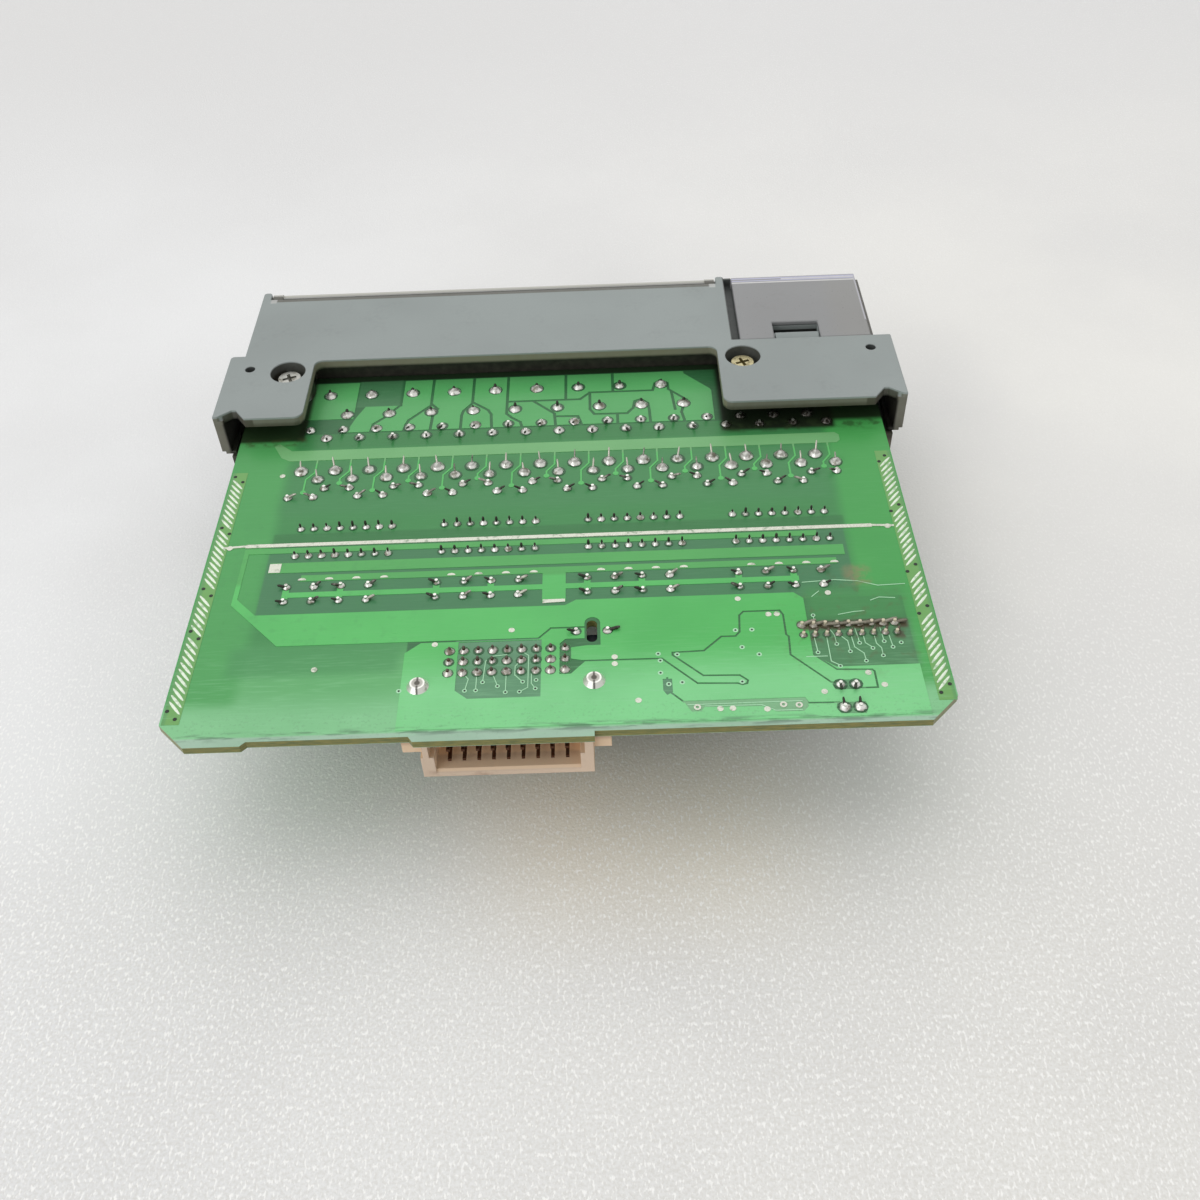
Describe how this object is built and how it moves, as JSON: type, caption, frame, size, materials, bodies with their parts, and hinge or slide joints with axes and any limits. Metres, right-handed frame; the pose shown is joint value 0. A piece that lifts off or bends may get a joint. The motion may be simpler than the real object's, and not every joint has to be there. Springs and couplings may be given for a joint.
{
  "type": "plc input module",
  "caption": "Plug-in input module for a controller rack: a board in a grey plastic housing with a hinged terminal door, an indicator window and a rear bus connector.",
  "frame": {"origin": "centre of the bounding box's underside, with the module lying on its component side", "axes": "+X along the rack's height, +Y out of the rack towards the terminal door, +Z away from the solder side of the board"},
  "size_m": [0.1442, 0.1296, 0.0345],
  "materials": {
    "housing_grey": "fine sparked moulding texture, lightly soiled",
    "clear_smoke": "clear polycarbonate with a faint smoke tint",
    "window_smoke": "smoke tinted polycarbonate, polished",
    "card_white": "uncoated card",
    "block_dark": "glass-filled moulding",
    "board_green": "green solder mask over glass-fibre laminate",
    "screw_zinc": "bright zinc plate",
    "screw_yellow": "yellow passivated zinc plate",
    "contact_brass": "tinned over brass, dulled",
    "contact_bronze": "dark tarnished contact alloy",
    "connector_tan": "cream moulding gone brown with heat and dirt",
    "header_cream": "cream moulding",
    "ribbon_grey": "flat ribbon insulation",
    "lamp_red": "diffused red epoxy",
    "chip_black": "black moulding compound",
    "resistor_buff": "buff lacquer",
    "film_red": "dipped epoxy",
    "disc_blue": "dipped epoxy",
    "lead_tin": "tinned copper wire",
    "solder_grey": "aged tin-lead solder"
  },
  "bodies": {
    "module": {"housing_shell": "housing_grey", "solder_side_cover": "housing_grey", "indicator_window": "window_smoke", "led_mask": "block_dark", "led_board": "board_green", "status_leds": "lamp_red", "led_ribbon": "ribbon_grey", "ribbon_header": "header_cream", "terminal_block": "block_dark", "terminal_screws": "screw_zinc", "pressure_plates": "screw_zinc", "socket_contacts": "contact_brass", "release_screws": "screw_zinc", "terminal_header": "block_dark", "header_pins": "lead_tin", "circuit_board": "board_green", "case_screw_left": "screw_zinc", "case_screw_right": "screw_yellow", "backplane_connector": "connector_tan", "backplane_contacts": "contact_bronze", "board_locks": "lead_tin", "optocoupler_1": "chip_black", "optocoupler_2": "chip_black", "optocoupler_3": "chip_black", "optocoupler_4": "chip_black", "optocoupler_leads": "lead_tin", "input_resistors": "resistor_buff", "input_resistor_leads": "lead_tin", "filter_capacitors": "film_red", "filter_capacitor_leads": "lead_tin", "pull_up_resistors": "resistor_buff", "pull_up_resistor_leads": "lead_tin", "suppressor_disc": "disc_blue", "suppressor_leads": "lead_tin", "clamp_diodes": "chip_black", "clamp_diode_leads": "lead_tin", "interface_chip": "chip_black", "interface_chip_leads": "lead_tin", "chip_capacitors": "resistor_buff", "header_solder": "solder_grey", "channel_solder": "solder_grey", "optocoupler_solder": "solder_grey", "pull_up_solder": "solder_grey", "connector_solder": "solder_grey", "small_part_solder": "solder_grey"},
    "door": {"terminal_door": "clear_smoke", "door_card": "card_white"}
  },
  "joints": [
    {"name": "door_hinge", "type": "hinge", "parent": "module", "child": "door", "pos_m": [-0.01565, 0.0637, 0.0332], "axis": [1, 0, 0], "range_deg": [0, 110]}
  ]
}
